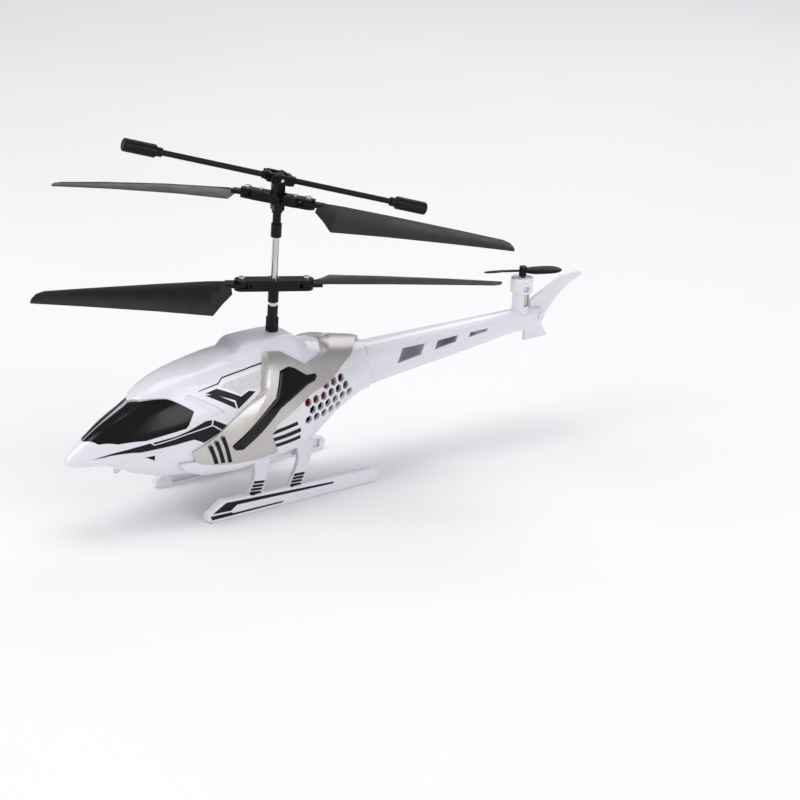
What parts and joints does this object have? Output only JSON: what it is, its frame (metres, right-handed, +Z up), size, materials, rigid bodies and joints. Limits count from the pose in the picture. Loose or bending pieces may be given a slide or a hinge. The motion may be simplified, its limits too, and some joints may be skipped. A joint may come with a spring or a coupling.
{
  "type": "remote control helicopter",
  "caption": "Small indoor helicopter with stacked counter-turning rotors on one mast, a weighted flybar, a slotted tail boom with fin and upright-axis tail propeller, and landing skids.",
  "frame": {"origin": "centre of the footprint on the ground under the skids; the mast stands 34.5 mm ahead of it", "axes": "+X forward to the nose, +Y to the port side, +Z up along the mast"},
  "size_m": [0.2491, 0.1504, 0.1442],
  "materials": {
    "white_shell": "gloss white",
    "silver_armour": "satin warm silver paint on plastic",
    "gloss_inset": "gloss black",
    "windshield": "dark tinted, high gloss",
    "black_plastic": "satin black",
    "boom_plastic": "gloss white",
    "skid_plastic": "gloss white",
    "frame_plastic": "moulded black",
    "rubber_boot": "matt",
    "bearing_steel": "turned",
    "motor_steel": "drawn can",
    "battery_wrap": "red wrap",
    "board_green": "solder mask",
    "socket_metal": "moulded black",
    "lamp_lens": "clear lens",
    "screw_steel": "plated",
    "shaft_steel": "ground",
    "gear_nylon": "natural nylon",
    "pinion_brass": "cut",
    "rotor_plastic": "satin black",
    "blade_plastic": "satin charcoal",
    "flybar_black": "satin black"
  },
  "bodies": {
    "airframe": {"nose_shell": "white_shell", "roof_shell": "white_shell", "rear_shell": "white_shell", "belly_pan": "white_shell", "armour_port": "silver_armour", "armour_starboard": "silver_armour", "armour_inset_port": "gloss_inset", "armour_inset_starboard": "gloss_inset", "windshield": "windshield", "switch_housing": "black_plastic", "tail_boom": "boom_plastic", "tail_fin": "boom_plastic", "side_skirts": "boom_plastic", "boom_collar": "boom_plastic", "strut_sockets": "boom_plastic", "tail_motor_tube": "boom_plastic", "tail_motor_cap": "boom_plastic", "skid_port": "skid_plastic", "skid_starboard": "skid_plastic", "main_frame": "frame_plastic", "mast_boot": "rubber_boot", "mast_bearings": "bearing_steel", "foot_bearing": "bearing_steel", "lower_motor": "motor_steel", "upper_motor": "motor_steel", "tail_motor": "motor_steel", "battery": "battery_wrap", "circuit_board": "board_green", "charging_socket": "socket_metal", "nose_lamp": "lamp_lens", "frame_screws": "screw_steel"},
    "lower_rotor": {"outer_shaft": "shaft_steel", "lower_main_gear": "gear_nylon", "lower_hub": "rotor_plastic", "lower_blade_screws": "screw_steel"},
    "upper_rotor": {"inner_shaft": "shaft_steel", "upper_main_gear": "gear_nylon", "shaft_collar": "rotor_plastic", "rotor_head": "rotor_plastic", "head_pins": "screw_steel"},
    "blade_holder": {"blade_holder": "rotor_plastic", "upper_blade_screws": "screw_steel", "holder_screws": "screw_steel"},
    "flybar": {"flybar_cradle": "rotor_plastic", "flybar_rods": "flybar_black", "flybar_weights": "flybar_black"},
    "lower_blade_a": {"lower_blade_a": "blade_plastic"},
    "lower_blade_b": {"lower_blade_b": "blade_plastic"},
    "upper_blade_a": {"upper_blade_a": "blade_plastic"},
    "upper_blade_b": {"upper_blade_b": "blade_plastic"},
    "link_rod_a": {"link_rod_a": "rotor_plastic"},
    "link_rod_b": {"link_rod_b": "rotor_plastic"},
    "lower_pinion": {"lower_pinion": "pinion_brass"},
    "upper_pinion": {"upper_pinion": "pinion_brass"},
    "tail_propeller": {"tail_propeller": "blade_plastic"},
    "switch_slider": {"switch_slider": "black_plastic"}
  },
  "joints": [
    {"name": "lower_rotor_spin", "type": "hinge", "parent": "airframe", "child": "lower_rotor", "pos_m": [0.0345, 0, 0.0838], "axis": [0, 0, 1], "continuous": true},
    {"name": "upper_rotor_spin", "type": "hinge", "parent": "airframe", "child": "upper_rotor", "pos_m": [0.0345, 0, 0.118], "axis": [0, 0, 1], "continuous": true},
    {"name": "lower_blade_a_lead", "type": "hinge", "parent": "lower_rotor", "child": "lower_blade_a", "pos_m": [0.04572, -0.0054, 0.0838], "axis": [0, 0, 1], "range_deg": [-23.1, 26.9]},
    {"name": "lower_blade_b_lead", "type": "hinge", "parent": "lower_rotor", "child": "lower_blade_b", "pos_m": [0.02328, 0.0054, 0.0838], "axis": [0, 0, 1], "range_deg": [-25, 25]},
    {"name": "flybar_tilt", "type": "hinge", "parent": "upper_rotor", "child": "flybar", "pos_m": [0.0345, 0, 0.126], "axis": [-0.2706, -0.9627, 0], "range_deg": [-30, 2]},
    {"name": "blade_holder_tilt", "type": "hinge", "parent": "upper_rotor", "child": "blade_holder", "pos_m": [0.0345, 0, 0.118], "axis": [0.4955, -0.8686, 0], "range_deg": [-16.5, 1.5]},
    {"name": "link_rod_a_rise", "type": "slide", "parent": "upper_rotor", "child": "link_rod_a", "axis": [0, 0, 1], "range_m": [-0.0016, 0.00015]},
    {"name": "link_rod_b_rise", "type": "slide", "parent": "upper_rotor", "child": "link_rod_b", "axis": [0, 0, 1], "range_m": [-0.00015, 0.0016]},
    {"name": "upper_blade_a_lead", "type": "hinge", "parent": "blade_holder", "child": "upper_blade_a", "pos_m": [0.04067, -0.01081, 0.118], "axis": [-0.1179, -0.0672, 0.9907], "range_deg": [-35.8, 14.2]},
    {"name": "upper_blade_b_lead", "type": "hinge", "parent": "blade_holder", "child": "upper_blade_b", "pos_m": [0.02833, 0.01081, 0.118], "axis": [-0.1179, -0.0672, 0.9907], "range_deg": [-38.6, 11.4]},
    {"name": "tail_propeller_spin", "type": "hinge", "parent": "airframe", "child": "tail_propeller", "pos_m": [-0.0918, 0, 0.068], "axis": [0, 0, 1], "continuous": true},
    {"name": "power_switch", "type": "slide", "parent": "airframe", "child": "switch_slider", "axis": [1, 0, 0], "range_m": [0, 0.002]},
    {"name": "lower_pinion_spin", "type": "hinge", "parent": "airframe", "child": "lower_pinion", "pos_m": [0.04761, 0.0075, 0.027], "axis": [0, 0, 1], "continuous": true},
    {"name": "upper_pinion_spin", "type": "hinge", "parent": "airframe", "child": "upper_pinion", "pos_m": [0.04761, -0.0075, 0.023], "axis": [0, 0, 1], "continuous": true}
  ],
  "couplings": [
    {"joint": "lower_pinion_spin", "follows": "lower_rotor_spin", "ratio": -6.5},
    {"joint": "upper_pinion_spin", "follows": "upper_rotor_spin", "ratio": -6.5},
    {"joint": "blade_holder_tilt", "follows": "flybar_tilt", "ratio": 0.5294},
    {"joint": "link_rod_a_rise", "follows": "flybar_tilt", "m_per_rad": 0.002966},
    {"joint": "link_rod_b_rise", "follows": "flybar_tilt", "m_per_rad": -0.002966}
  ]
}
